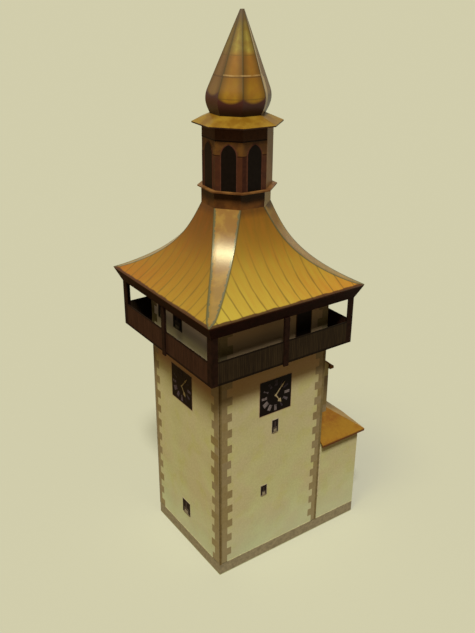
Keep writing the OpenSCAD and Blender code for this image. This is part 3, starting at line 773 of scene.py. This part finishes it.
def spire_tree():
    """An onion spire as a tube of flat gores. Its radius swells over the bulb, turns in
    over the shoulder, and then falls away evenly to the tip."""
    tree, given = start_tree("spire", {
        "Gores": "Int", "Rows": "Int", "Foot": "Vector", "Turn": "Float", "Height": "Float",
        "Foot radius": "Float", "Bulge radius": "Float", "Tip radius": "Float",
        "Bulge height": "Float", "Shoulder": "Float", "Lean": "Vector", "Material": "Material",
    })
    tube = add(tree, "GeometryNodeMeshCylinder", {
        "Vertices": given["Gores"], "Side Segments": given["Rows"], "Radius": 1.0, "Depth": 1.0,
    })
    place = add(tree, "ShaderNodeSeparateXYZ", {0: add(tree, "GeometryNodeInputPosition")})
    share = add(tree, "ShaderNodeMath", {0: place.outputs["Z"], 1: 0.5}, operation="ADD")
    # The folds lie closer together low down, where the bulb curves.
    crowded = add(tree, "ShaderNodeMath", {
        0: add(tree, "ShaderNodeMath", {0: share, 1: 0.0}, operation="MAXIMUM"), 1: 1.6,
    }, operation="POWER")
    rise = add(tree, "ShaderNodeMath", {0: crowded, 1: given["Height"]}, operation="MULTIPLY")
    in_bulb = add(tree, "ShaderNodeMath", {
        0: rise, 1: given["Bulge height"],
    }, operation="DIVIDE", use_clamp=True)
    swell = add(tree, "ShaderNodeMath", {
        0: add(tree, "ShaderNodeMath", {0: in_bulb, 1: math.pi / 2}, operation="MULTIPLY"),
    }, operation="SINE")
    bulb = add(tree, "ShaderNodeMath", {
        0: add(tree, "ShaderNodeMath", {
            0: given["Bulge radius"], 1: given["Foot radius"],
        }, operation="SUBTRACT"),
        1: swell, 2: given["Foot radius"],
    }, operation="MULTIPLY_ADD")
    past_bulge = add(tree, "ShaderNodeMath", {
        0: rise, 1: given["Bulge height"],
    }, operation="SUBTRACT")
    in_shoulder = add(tree, "ShaderNodeMath", {
        0: past_bulge, 1: given["Shoulder"],
    }, operation="DIVIDE", use_clamp=True)
    half_shoulder = add(tree, "ShaderNodeMath", {
        0: given["Shoulder"], 1: 0.5,
    }, operation="MULTIPLY")
    rounded = add(tree, "ShaderNodeMath", {
        0: add(tree, "ShaderNodeMath", {0: in_shoulder, 1: 2.0}, operation="POWER"),
        1: half_shoulder,
    }, operation="MULTIPLY")
    past_shoulder = add(tree, "ShaderNodeMath", {
        0: add(tree, "ShaderNodeMath", {
            0: past_bulge, 1: given["Shoulder"],
        }, operation="SUBTRACT"),
        1: 0.0,
    }, operation="MAXIMUM")
    cone_run = add(tree, "ShaderNodeMath", {
        0: add(tree, "ShaderNodeMath", {
            0: given["Height"], 1: given["Bulge height"],
        }, operation="SUBTRACT"),
        1: half_shoulder,
    }, operation="SUBTRACT")
    slope = add(tree, "ShaderNodeMath", {
        0: add(tree, "ShaderNodeMath", {
            0: given["Bulge radius"], 1: given["Tip radius"],
        }, operation="SUBTRACT"),
        1: cone_run,
    }, operation="DIVIDE")
    drawn_in = add(tree, "ShaderNodeMath", {
        0: add(tree, "ShaderNodeMath", {0: rounded, 1: past_shoulder}, operation="ADD"),
        1: slope,
    }, operation="MULTIPLY")
    radius = add(tree, "ShaderNodeMath", {0: bulb, 1: drawn_in}, operation="SUBTRACT")
    flat = add(tree, "ShaderNodeCombineXYZ", {
        "X": add(tree, "ShaderNodeMath", {0: place.outputs["X"], 1: radius}, operation="MULTIPLY"),
        "Y": add(tree, "ShaderNodeMath", {0: place.outputs["Y"], 1: radius}, operation="MULTIPLY"),
        "Z": rise,
    })
    turned = add(tree, "ShaderNodeVectorRotate", {
        "Vector": flat, "Angle": given["Turn"],
    }, rotation_type="Z_AXIS")
    lean = add(tree, "ShaderNodeVectorMath", {
        0: given["Lean"],
        "Scale": add(tree, "ShaderNodeMath", {0: rise, 1: given["Height"]}, operation="DIVIDE"),
    }, operation="SCALE")
    leaning = add(tree, "ShaderNodeVectorMath", {0: turned, 1: lean}, operation="ADD")
    lifted = add(tree, "ShaderNodeVectorMath", {0: leaning, 1: given["Foot"]}, operation="ADD")
    shaped = add(tree, "GeometryNodeSetPosition", {"Geometry": tube, "Position": lifted})
    solid = add(tree, "GeometryNodeRealizeInstances", {"Geometry": shaped})
    inked = add(tree, "GeometryNodeSetMaterial", {
        "Geometry": solid, "Material": given["Material"],
    })
    add(tree, "NodeGroupOutput", {"Geometry": inked})
    return tree


# ---- Walls ----


def lay_quoins(material):
    """Corner blocks on both faces of every corner of the tower and the bay."""
    tree = quoin_tree()
    walls = [(label, *wall, label in ("front", "back")) for label, wall in TOWER_WALLS.items()]
    walls_of_bay = [
        ("bay_front", BAY_FRONT_FACE, None, BAY_X, True),
        ("bay_side", BAY_SIDE_FACE, BAY_FRONT, BAY_BACK, False),
        ("bay_back", BAY_BACK_FACE, -BAY_X, None, True),
    ]
    runs = (QUOIN_FOOT, CEILING_Z, walls), (ANNEX_EAVE_Z + 8, BAY_TOP_Z - 3, walls_of_bay)
    # How far the long and the short blocks reach, on a broad wall and on a side wall.
    reaches = {
        (True, "left"): (6.3, 4.0), (True, "right"): (5.3, 3.2),
        (False, "left"): (4.6, 2.2), (False, "right"): (6.0, 4.0),
    }
    seed = 0
    for foot, top, group in runs:
        for label, face, left, right, is_broad in group:
            for side, edge, way in (("left", left, 1), ("right", right, -1)):
                if edge is None:
                    continue
                seed += 1
                name = f"{label}_quoins_{side}"
                long, short = reaches[is_broad, side]
                mesh = grow(name, tree, {
                    "Foot": face.at(edge, foot) * MM, "Along": face.along * way,
                    "Courses": int((top - foot - QUOIN_RISE / 2) / QUOIN_RISE) + 1,
                    "Rise": QUOIN_RISE * MM, "Block": QUOIN_RISE * MM,
                    "Long": long * MM, "Short": short * MM, "Start": int(is_broad),
                    "Proud": 2 * INK * MM, "Seed": seed, "Material": material,
                })
                add_piece(name, mesh, material, "printed_stone")


def print_window(sheet, face, left, right, foot, top):
    """A small window: a dark pane that catches some light low down, in a worn reveal."""
    width, height = right - left, top - foot
    middle = foot + 0.45 * height
    sheet.box(face, left - 0.25, right + 0.25, foot - 0.2, top + 0.35, "#a39a84")
    sheet.box(face, left, right, foot, top, "#1c1715", 2)
    sheet.box(face, left + 0.2 * width, right - 0.2 * width, foot + 0.5, middle, "#4d463c", 3)
    sheet.box(face, left + 0.28 * width, right - 0.3 * width, foot + 0.7, foot + 1.9, "#857d68", 4)
    sheet.box(face, left + 0.4 * width, right - 0.42 * width, middle, top - 0.8, "#3a3230", 3)
    sheet.box(face, left + 0.1 * width, right - 0.1 * width, foot, foot + 0.4, "#776d58", 5)


def print_numeral(sheet, face, middle, hour, ink):
    """One numeral with its foot towards the dial's middle."""
    angle = hour * math.tau / 12
    outward = Vector((math.sin(angle), math.cos(angle)))
    sideways = Vector((outward.y, -outward.x))
    thick, thin, serif, gap = 0.34, 0.22, 0.2, 0.08
    widths = {"I": 0.46, "V": 0.74, "X": 0.74}
    text = NUMERALS[hour]
    half = sum(widths[letter] for letter in text) / 2

    def draw(start, end, width):
        ends = (
            middle + outward * (NUMERAL_R + up) + sideways * across for across, up in (start, end)
        )
        sheet.stroke(face, *ends, width, ink, 3)

    reach = -half
    for letter in text:
        left, right = reach + gap, reach + widths[letter] - gap
        centre = reach + widths[letter] / 2
        if letter == "I":
            draw((centre, 0), (centre, NUMERAL_H), thick)
        if letter == "V":
            draw((left, NUMERAL_H), (centre, 0), thick)
            draw((right, NUMERAL_H), (centre, 0), thin)
        if letter == "X":
            draw((left, NUMERAL_H), (right, 0), thick)
            draw((right, NUMERAL_H), (left, 0), thin)
        reach += widths[letter]
    for up in (0, NUMERAL_H):
        draw((-half, up), (half, up), serif)


def print_clock(sheet, face, across, up, inks, gilt):
    """A square black dial with numerals and two gilt hands. The inks are those of the
    clearest numerals, of two duller ones and of the rest: the upper numerals are dimmed by
    painted shade from the gallery, and the others vary as worn print."""
    middle = Vector((across, up))
    for width, height, layer, ink in (
        (DIAL_W + 0.5, DIAL_H + 0.6, 1, "#9a8468"), (DIAL_W, DIAL_H, 2, "#0c0707"),
    ):
        left, foot = across - width / 2, up - height / 2
        sheet.box(face, left, left + width, foot, foot + height, ink, layer)
    for hour in range(12):
        # Painted shade dims the upper numerals; the others vary as worn print.
        wear = 0 if hour in (3, 6, 7, 8, 9) else 1 if hour in (4, 10) else 2
        print_numeral(sheet, face, middle, hour, inks[wear])
    # The minute hand and the hour hand, each with a pointed head.
    for degrees, reach, head_w in ((41, 7.0, 1.0), (144, 4.7, 1.9)):
        angle = math.radians(degrees)
        way = Vector((math.sin(angle), math.cos(angle)))
        side = Vector((way.y, -way.x)) * head_w / 2
        sheet.stroke(face, middle - way * 0.5, middle + way * reach, 0.6, gilt, 4, 0.25)
        base, tip = middle + way * (reach * 0.55), middle + way * (reach + 0.4)
        shoulder = base + way * 0.8
        sheet.shape(face, [shoulder + side, tip, shoulder - side, base], gilt, 5)
    hub_r, steps = 0.45, 12
    angles = [math.tau * i / steps for i in range(steps)]
    hub = [middle + Vector((math.cos(a), math.sin(a))) * hub_r for a in angles]
    sheet.shape(face, hub, gilt, 6)


def print_folds(sheet):
    """The card's folds at the tower's corners: a dark line, and a worn one beside it."""
    for face, left, right in TOWER_WALLS.values():
        is_broad = face in (FRONT, BACK)
        for edge, way, dark_ink in ((left, 1, "#5e4e2e"), (right, -1, "#716544")):
            dark_edge = edge + way * (0.4 if is_broad else 0.15)
            worn_edge = dark_edge + way * (0.7 if is_broad else 0.4)
            worn_ink = "#6e6342" if is_broad else "#857c62"
            sheet.box(face, *sorted((edge, dark_edge)), BAND_TOP_Z, GALLERY_Z, dark_ink, 4)
            sheet.box(face, *sorted((dark_edge, worn_edge)), BAND_TOP_Z, GALLERY_Z, worn_ink, 3)


def print_walls(ink):
    """What is drawn on the walls: foot band, folds, windows, clocks, and the gallery doors."""
    sheet = Print()
    feet = [
        (FRONT, -TOWER_X, ANNEX_X), (LEFT, -TOWER_BACK, -TOWER_FRONT),
        (BACK, -TOWER_X, TOWER_X), (RIGHT, ANNEX_BACK, TOWER_BACK),
        (ANNEX_SIDE_FACE, TOWER_FRONT, ANNEX_BACK), (ANNEX_BACK_FACE, -ANNEX_X, -TOWER_X),
    ]
    for face, left, right in feet:
        sheet.box(face, left, right, CARD, BAND_TOP_Z, "#827b62")
        sheet.box(face, left, right, BAND_TOP_Z, BAND_TOP_Z + 0.35, "#b1ae89")
    # The annex wall's paper edge against the tower.
    sheet.box(FRONT, TOWER_X, TOWER_X + 0.4, 20, ANNEX_EAVE_Z - 1, "#b4ad8e", 5)
    print_folds(sheet)
    for face in (FRONT, BACK):
        print_window(sheet, face, -0.6, 2.7, 66.0, 72.5)
        print_window(sheet, face, -5.9, -2.7, 34.4, 39.8)
        print_clock(sheet, face, 0.8, 84.9, ("#706866", "#5a5458", "#3a343c"), "#968a68")
        left, right, top = 10.9, 18.4, 122.3
        sheet.box(face, left - 0.5, right + 0.5, FLOOR_Z, top + 0.6, "#4b3a2a")
        sheet.box(face, left, right, FLOOR_Z, top, "#17100c", 2)
    print_window(sheet, LEFT, -4.4, 2.0, 15.9, 23.2)
    print_clock(sheet, LEFT, -2.4, 84.6, ("#544a52", "#3c363c", "#221c22"), "#7a6c4a")
    for face in (LEFT, RIGHT):
        print_window(sheet, face, -20.8, -14.4, 111.1, 119.5)
        print_window(sheet, face, -8.0, -1.0, 111.1, 119.5)
    print_window(sheet, BAY_SIDE_FACE, -6.2, -0.1, 66.0, 72.5)
    print_window(sheet, ANNEX_SIDE_FACE, -6.3, 0.0, 22.0, 29.0)
    sheet.finish("wall_drawing", ink, "printed_stone")


# ---- Main roof ----


def run_left(t):
    """The share of the run from the collar to the eaves that is left at height t, from 0 at
    the eaves to 1: part straight, and part a flare."""
    return (1 - STRAIGHT_SHARE) * (1 - t) ** FLARE_POWER + STRAIGHT_SHARE * (1 - t)


def run_rate(t):
    """How fast that share shrinks."""
    return (1 - STRAIGHT_SHARE) * FLARE_POWER * (1 - t) ** (FLARE_POWER - 1) + STRAIGHT_SHARE


ROOF_TOP_REACH = LANTERN_R * math.cos(math.pi / SIDES)
CHAMFER_SHARE = 2 - math.sqrt(2)  # of a square's half width, where it is cut to an octagon
CHAMFER_TOP = ROOF_TOP_REACH * CHAMFER_SHARE
MEAN_RUN = (EAVE_X + EAVE_Y) / 2 - ROOF_TOP_REACH


def roof_ring(t, inset):
    """The roof's eight corners at height t, this far in from its outer skin."""
    slope = math.atan2(ROOF_RISE, run_rate(t) * MEAN_RUN)
    inward, down = inset * math.sin(slope), inset * math.cos(slope)
    x = ROOF_TOP_REACH + (EAVE_X - ROOF_TOP_REACH) * run_left(t) - inward
    y = ROOF_TOP_REACH + (EAVE_Y - ROOF_TOP_REACH) * run_left(t) - inward
    c = CHAMFER_FOOT + (CHAMFER_TOP - CHAMFER_FOOT) * t ** CHAMFER_POWER
    c = max(c - inward * CHAMFER_SHARE, CHAMFER_FOOT / 2)
    turn = Matrix.Rotation(math.radians(LANTERN_TURN * t), 3, "Z")
    corners = [
        (c - x, -y), (x - c, -y), (x, c - y), (x, y - c),
        (x - c, y), (c - x, y), (-x, y - c), (-x, c - y),
    ]
    z = EAVE_Z + ROOF_RISE * t - down
    middle = Vector((HEAD.x, HEAD.y, z))
    return [middle + turn @ Vector((px, py, 0)) for px, py in corners]


ROOF_NAMES = (
    "front_roof", "front_right_hip", "right_roof", "back_right_hip",
    "back_roof", "back_left_hip", "left_roof", "front_left_hip",
)


def roof_side(k, material, slot):
    """One slope or hip of the roof: a curved strip of card, closed round its edges."""
    rows, columns = 40, 6
    points, cut, rim = [], [], []
    for inset in (0.0, CARD):
        climbed = 0.0
        before = None
        for row in range(rows + 1):
            ring = roof_ring(row / rows, inset)
            a, b = ring[k], ring[(k + 1) % SIDES]
            middle = (a + b) / 2
            climbed += (middle - before).length if before else 0.0
            before = middle
            width = (b - a).length
            for column in range(columns + 1):
                share = column / columns
                points.append(a.lerp(b, share))
                cut.append((width * (share - 0.5), climbed))
                rim.append((width * share, width * (1 - share)))
    wide = columns + 1
    inner = wide * (rows + 1)
    faces = []
    for row in range(rows):
        for column in range(columns):
            p = wide * row + column
            faces.append((p, p + 1, p + 1 + wide, p + wide))
            q = inner + p
            faces.append((q, q + wide, q + 1 + wide, q + 1))
        left, right = wide * row, wide * row + columns
        faces.append((left, left + wide, inner + left + wide, inner + left))
        faces.append((right, inner + right, inner + right + wide, right + wide))
    last = wide * rows
    for column in range(columns):
        faces.append((column, inner + column, inner + column + 1, column + 1))
        p = last + column
        faces.append((p, p + 1, inner + p + 1, inner + p))
    name = "curved_" + ROOF_NAMES[k]
    mesh = make_mesh(name, points, faces, {"cut": cut, "rim": rim})
    add_piece(name, mesh, material, slot, ROOF_NAMES[k])


# ---- Lantern ----


def lantern_face(k, centre):
    """Face k of the lantern or of its collar, with 0 at the front."""
    angle = math.radians(45 * k - 90 + LANTERN_TURN)
    out = Vector((math.cos(angle), math.sin(angle), 0))
    along = Vector((-out.y, out.x, 0))
    return Face(Vector((centre.x, centre.y, 0)) + out * ROOF_TOP_REACH, along)


def pointed_arch(half_width, grow_by=0.0):
    """The outline of a lantern arch, from its foot round by the right."""
    reach = (ARCH_RISE ** 2 - half_width ** 2) / (2 * half_width)
    radius = reach + half_width + grow_by
    steps = 8
    angles = [math.atan2(ARCH_RISE, reach) * i / steps for i in range(steps)]
    right = [
        (radius * math.cos(a) - reach, ARCH_SPRING_Z + radius * math.sin(a)) for a in angles
    ]
    apex = (0.0, ARCH_SPRING_Z + math.sqrt(radius ** 2 - reach ** 2))
    left = [(-x, z) for x, z in reversed(right)]
    foot = half_width + grow_by
    return [(foot, LEDGE_TOP_Z), *right, apex, *left, (-foot, LEDGE_TOP_Z)]


def print_lantern(ink):
    """Arches, capitals and the dark band on seven faces of the lantern. The eighth, which is
    glued, is plain brown paper."""
    sheet = Print()
    half_face = LANTERN_R * math.sin(math.pi / SIDES)
    half_arch = 0.28 * 2 * half_face
    band_foot = LANTERN_TOP_Z - 5.0
    capital_foot = ARCH_SPRING_Z - 0.2
    glued, unshaded = 1, 7
    for k in range(SIDES):
        face = lantern_face(k, LANTERN)
        if k == glued:
            sheet.box(face, 0.2 - half_face, half_face, LEDGE_TOP_Z, LANTERN_TOP_Z, "#7e5e3a")
            continue
        sheet.box(face, -half_face, half_face, band_foot, LANTERN_TOP_Z, "#422c1e")
        sheet.box(face, -half_face, half_face, band_foot + 0.3, band_foot + 0.6, "#463329", 2)
        sheet.box(face, -half_face, half_face, band_foot - 0.4, band_foot, "#100806", 2)
        sheet.box(face, -half_face, half_face, capital_foot, ARCH_SPRING_Z + 0.15, "#28130b")
        # The pillars are drawn in shade along their faces' left edges.
        if k != unshaded:
            sheet.box(face, -half_face, -half_arch - 0.7, LEDGE_TOP_Z, capital_foot, "#321b13")
        sheet.shape(face, pointed_arch(half_arch, 0.4), "#4a2c20", 2)
        sheet.shape(face, pointed_arch(half_arch), "#100b08", 3)
    # The glued face of the collar is bare paper.
    bare = lantern_face(glued, HEAD)
    sheet.box(bare, 0.3 - half_face, half_face, ROOF_TOP_Z, LEDGE_FOOT_Z, "#b8a982")
    sheet.finish("lantern_drawing", ink, "printed_lantern")


# ---- Spire ----


def raise_spire(material):
    """The onion spire, on the lantern's upper cornice."""
    mesh = grow("onion_spire", spire_tree(), {
        "Gores": SIDES, "Rows": 56, "Foot": Vector((LANTERN.x, LANTERN.y, SPIRE_Z)) * MM,
        "Turn": math.radians(LANTERN_TURN) + math.pi / SIDES, "Height": SPIRE_H * MM,
        "Foot radius": SPIRE_FOOT_R * MM, "Bulge radius": BULGE_R * MM,
        "Bulge height": BULGE_H * MM, "Shoulder": SHOULDER_H * MM,
        "Tip radius": TIP_R * MM, "Lean": SPIRE_LEAN * MM, "Material": material,
    })
    crease(mesh, 20)
    add_piece("onion_spire", mesh, material, "printed_copper", "spire")


# ---- Camera, light and floor ----


def set_camera():
    """A view from the front left, a little higher than the spire's tip."""
    azimuth, elevation, roll = (math.radians(a) for a in (-35.01, 24.72, 0.404))
    back = Vector((
        math.sin(azimuth) * math.cos(elevation),
        -math.cos(azimuth) * math.cos(elevation),
        math.sin(elevation),
    ))
    level = Vector((0, 0, 1)).cross(back).normalized()
    upright = back.cross(level)
    right = level * math.cos(roll) + upright * math.sin(roll)
    up = upright * math.cos(roll) - level * math.sin(roll)
    lens = bpy.data.cameras.new("camera")
    lens.lens = 42.474
    lens.sensor_width = 36
    lens.clip_start = 0.01
    camera = bpy.data.objects.new("camera", lens)
    turn = Matrix((right, up, back)).transposed().to_4x4()
    camera.matrix_world = Matrix.Translation(Vector((-170.56, -242.95, 248.31)) * MM) @ turn
    bpy.context.scene.collection.objects.link(camera)
    bpy.context.scene.camera = camera


def shine(name, azimuth, elevation, strength, spread, colour):
    """A distant lamp. Azimuth is from +X towards +Y, and spread is the width of its disc."""
    lamp = bpy.data.lights.new(name, "SUN")
    lamp.energy = strength
    lamp.angle = math.radians(spread)
    lamp.color = linear(colour)[:3]
    made = bpy.data.objects.new(name, lamp)
    a, e = math.radians(azimuth), math.radians(elevation)
    source = Vector((math.cos(a) * math.cos(e), math.sin(a) * math.cos(e), math.sin(e)))
    made.rotation_euler = source.to_track_quat("Z", "Y").to_euler()
    bpy.context.scene.collection.objects.link(made)


def set_light():
    """Two lamps high on the left, and a dim warm world that shows as a pale backdrop."""
    shine("key", -128.5, 58.3, 4.75, 11, "#fff8ee")
    shine("glow", -163, 60.5, 0.97, 16, "#fdf2b0")
    world = bpy.data.worlds.new("studio")
    world.use_nodes = True
    tree = world.node_tree
    tree.nodes.clear()
    path = add(tree, "ShaderNodeLightPath")
    seen = add(tree, "ShaderNodeMath", {
        0: path.outputs["Is Camera Ray"],
        1: add(tree, "ShaderNodeMath", {
            0: path.outputs["Is Glossy Ray"], 1: path.outputs["Is Transmission Ray"],
        }, operation="MAXIMUM"),
    }, operation="MAXIMUM")
    lit = add(tree, "ShaderNodeBackground", {"Color": "#ffe6c4", "Strength": 0.2})
    shown = add(tree, "ShaderNodeBackground", {"Color": "#c8c4ad", "Strength": 1.0})
    mixed = add(tree, "ShaderNodeMixShader", {0: seen, 1: lit, 2: shown})
    add(tree, "ShaderNodeOutputWorld", {"Surface": mixed})
    bpy.context.scene.world = world


def lay_floor():
    """A plain pale floor, far wider than the view. The card reflects it browner on the left,
    and it throws less light on the model than it shows."""
    reach = 30 / MM
    corners = [(-reach, -reach, 0), (reach, -reach, 0), (reach, reach, 0), (-reach, reach, 0)]
    floor = bpy.data.objects.new("floor", make_mesh("floor", corners, [(0, 1, 2, 3)]))
    bpy.context.scene.collection.objects.link(floor)
    made, tree, shader, place = start_print("matt_studio_paper", 0.9, 0.0)
    path = add(tree, "ShaderNodeLightPath")
    seen = add(tree, "ShaderNodeMath", {
        0: path.outputs["Is Camera Ray"], 1: path.outputs["Is Glossy Ray"],
    }, operation="MAXIMUM")
    across = add(tree, "ShaderNodeSeparateXYZ", {0: place}).outputs["X"]
    mirrored = fade(
        tree, "#8a7049", "#a3a697", across, -50 * MM, 200 * MM, ease="SMOOTHSTEP")
    shown = add(tree, "ShaderNodeMixRGB", {
        "Fac": path.outputs["Is Glossy Ray"], "Color1": "#a3a697", "Color2": mirrored,
    })
    tone = add(tree, "ShaderNodeMixRGB", {"Fac": seen, "Color1": "#6e5b42", "Color2": shown})
    tree.links.new(tone.outputs[0], shader.inputs["Base Color"])
    floor.data.materials.append(made)


# ---- The model ----

set_camera()
set_light()
lay_floor()

finish_nodes(
    plaster_print(), "front_wall", "left_wall", "right_wall", "back_wall", "base_card",
    "annex_front_wall", "annex_side_wall", "annex_back_wall",
    "bay_front_wall", "bay_side_wall", "bay_back_wall",
)
lay_quoins(quoin_print())
print_walls(ink_print("ink_on_matt_card", 0.5))

front_boards = timber_print("printed_oak_card_front", "X", "#1e1710", "#31281a")
side_boards = timber_print("printed_oak_card_side", "Y", "#281810", "#3e291d")
beams = beam_print("printed_beam_card", "#150c08", "#22140e")
cornices = beam_print("printed_cornice_card", "#170705", "#230d0b", "#3a180e")
finish_nodes(front_boards, "front_parapet", "back_parapet")
finish_nodes(side_boards, "left_parapet", "right_parapet")
finish_nodes(beams, "corner_posts", "middle_posts", "gallery_floor", "gallery_ceiling")
finish_nodes(cornices, "front_cornice", "left_cornice", "right_cornice", "back_cornice")

front_card = roof_print("printed_copper_roof_card", "#ffffff")
# The side slopes are a darker copy of the front ones: painted shade.
side_shaded_card = roof_print("printed_copper_roof_card_painted_shade", "#e8d4c2")
hip_card = hip_print()
for side, slope_card in ((0, front_card), (2, side_shaded_card), (4, front_card), (6, side_shaded_card)):
    roof_side(side, slope_card, "printed_tiles")
    roof_side(side + 1, hip_card, "glossy_hips")

finish_nodes(lantern_print(), "lantern_walls")
for node, name, dark, pale, roughness, foot, top_share in (
    ("lantern_collar", "printed_collar_card", "#3c2310", "#5c3a18", 0.42, ROOF_TOP_Z + 0.5, 0.3),
    ("lower_cornice", "printed_ledge_card", "#4e3118", "#6c4c28", 0.42, LEDGE_FOOT_Z, 1.0),
    ("lantern_lid", "printed_lid_card", "#20120c", "#2e1c12", 0.5, LANTERN_TOP_Z, 1.0),
    ("upper_cornice", "printed_gilt_card", "#674a10", "#7a601c", 0.38, GILT_FOOT_Z, 0.9),
    ("annex_side_roof", "printed_faded_copper_card", "#80642e", "#927642", 0.45, ANNEX_EAVE_Z, 1.0),
):
    finish_nodes(cornice_print(name, dark, pale, roughness, foot, top_share), node)
print_lantern(ink_print("ink_on_satin_card", 0.42))
raise_spire(spire_print())

finish_nodes(low_roof_print(), "annex_front_roof", "annex_back_roof")
finish_nodes(beam_print("printed_dark_roof_card", "#5c4020", "#7c5a30"), "bay_roof")

bpy.context.scene.view_settings.view_transform = "Standard"
